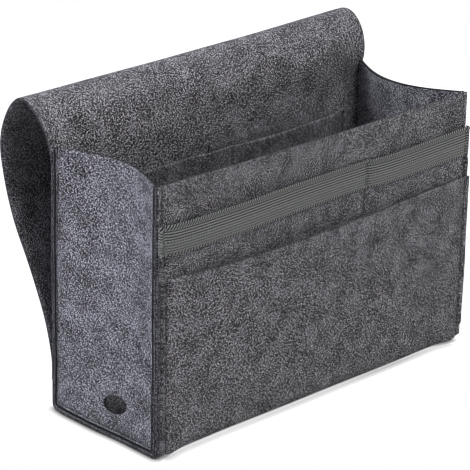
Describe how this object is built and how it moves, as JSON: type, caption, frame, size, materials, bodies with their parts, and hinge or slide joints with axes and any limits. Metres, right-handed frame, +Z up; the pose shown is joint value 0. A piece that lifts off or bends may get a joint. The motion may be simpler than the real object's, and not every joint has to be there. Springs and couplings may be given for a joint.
{
  "type": "bedside caddy",
  "caption": "Open felt box for a bed's side, with front pockets under a webbing band, inner pockets, a cable hole and a long flap that tucks under the mattress.",
  "frame": {"origin": "middle of the underside of the box, midway between its raw side edges and between the outer faces of its front and back walls", "axes": "+X to the right along the front, +Y from the front to the back, +Z up"},
  "size_m": [0.35, 0.2051, 0.2659],
  "materials": {
    "felt": "dark grey melange felt, matt and slightly hairy",
    "felt_side": "dark grey melange felt, matt and slightly hairy",
    "webbing": "tight ribbed webbing with a slight sheen",
    "thread": "dark sewing thread"
  },
  "bodies": {
    "caddy": {"felt_wrap": "felt", "middle_pocket_panel": "felt", "outer_pocket_panel": "felt", "pocket_webbing": "webbing", "left_gusset": "felt_side", "right_gusset": "felt_side", "inner_pocket_tall": "felt", "inner_pocket_low": "felt", "front_left_seam": "thread", "rear_left_seam": "thread", "front_right_seam": "thread", "rear_right_seam": "thread", "pocket_divider_stitch": "thread", "webbing_stitch_left": "thread", "webbing_stitch_right": "thread", "inner_stitch_left": "thread", "inner_stitch_middle": "thread", "inner_stitch_right": "thread"},
    "flap_link_01": {"flap_panel_01": "felt"},
    "flap_link_02": {"flap_panel_02": "felt"},
    "flap_link_03": {"flap_panel_03": "felt"},
    "flap_link_04": {"flap_panel_04": "felt"},
    "flap_link_05": {"flap_panel_05": "felt"},
    "flap_link_06": {"flap_panel_06": "felt"},
    "flap_link_07": {"flap_panel_07": "felt"},
    "flap_link_08": {"flap_panel_08": "felt"},
    "flap_link_09": {"flap_panel_09": "felt"},
    "flap_link_10": {"flap_panel_10": "felt"}
  },
  "joints": [
    {"name": "flap_lift", "type": "hinge", "parent": "caddy", "child": "flap_link_01", "pos_m": [0, 0.063, 0.22815], "axis": [-1, 0, 0], "range_deg": [0, 71]},
    {"name": "flap_uncurl_02", "type": "hinge", "parent": "flap_link_01", "child": "flap_link_02", "pos_m": [0, 0.06855, 0.25211], "axis": [-1, 0, 0], "range_deg": [-28, 0]},
    {"name": "flap_uncurl_03", "type": "hinge", "parent": "flap_link_02", "child": "flap_link_03", "pos_m": [0, 0.08009, 0.26287], "axis": [-1, 0, 0], "range_deg": [-31.5, 0]},
    {"name": "flap_uncurl_04", "type": "hinge", "parent": "flap_link_03", "child": "flap_link_04", "pos_m": [0, 0.09359, 0.26562], "axis": [-1, 0, 0], "range_deg": [-40, 0]},
    {"name": "flap_uncurl_05", "type": "hinge", "parent": "flap_link_04", "child": "flap_link_05", "pos_m": [0, 0.10714, 0.25826], "axis": [-1, 0, 0], "range_deg": [-27.5, 0]},
    {"name": "flap_uncurl_06", "type": "hinge", "parent": "flap_link_05", "child": "flap_link_06", "pos_m": [0, 0.11823, 0.24181], "axis": [-1, 0, 0], "range_deg": [-21.5, 0]},
    {"name": "flap_uncurl_07", "type": "hinge", "parent": "flap_link_06", "child": "flap_link_07", "pos_m": [0, 0.12384, 0.21651], "axis": [-1, 0, 0], "range_deg": [-16.5, 0]},
    {"name": "flap_uncurl_08", "type": "hinge", "parent": "flap_link_07", "child": "flap_link_08", "pos_m": [0, 0.12158, 0.18416], "axis": [-1, 0, 0], "range_deg": [-14.5, 0]},
    {"name": "flap_uncurl_09", "type": "hinge", "parent": "flap_link_08", "child": "flap_link_09", "pos_m": [0, 0.10898, 0.14649], "axis": [-1, 0, 0], "range_deg": [-5.5, 0]},
    {"name": "flap_uncurl_10", "type": "hinge", "parent": "flap_link_09", "child": "flap_link_10", "pos_m": [0, 0.08221, 0.09299], "axis": [-1, 0, 0], "range_deg": [0, 10.5]}
  ],
  "couplings": [
    {"joint": "flap_uncurl_02", "follows": "flap_lift", "ratio": -0.3943},
    {"joint": "flap_uncurl_03", "follows": "flap_lift", "ratio": -0.4436},
    {"joint": "flap_uncurl_04", "follows": "flap_lift", "ratio": -0.5633},
    {"joint": "flap_uncurl_05", "follows": "flap_lift", "ratio": -0.3873},
    {"joint": "flap_uncurl_06", "follows": "flap_lift", "ratio": -0.3028},
    {"joint": "flap_uncurl_07", "follows": "flap_lift", "ratio": -0.2323},
    {"joint": "flap_uncurl_08", "follows": "flap_lift", "ratio": -0.2042},
    {"joint": "flap_uncurl_09", "follows": "flap_lift", "ratio": -0.0774},
    {"joint": "flap_uncurl_10", "follows": "flap_lift", "ratio": 0.1478}
  ]
}
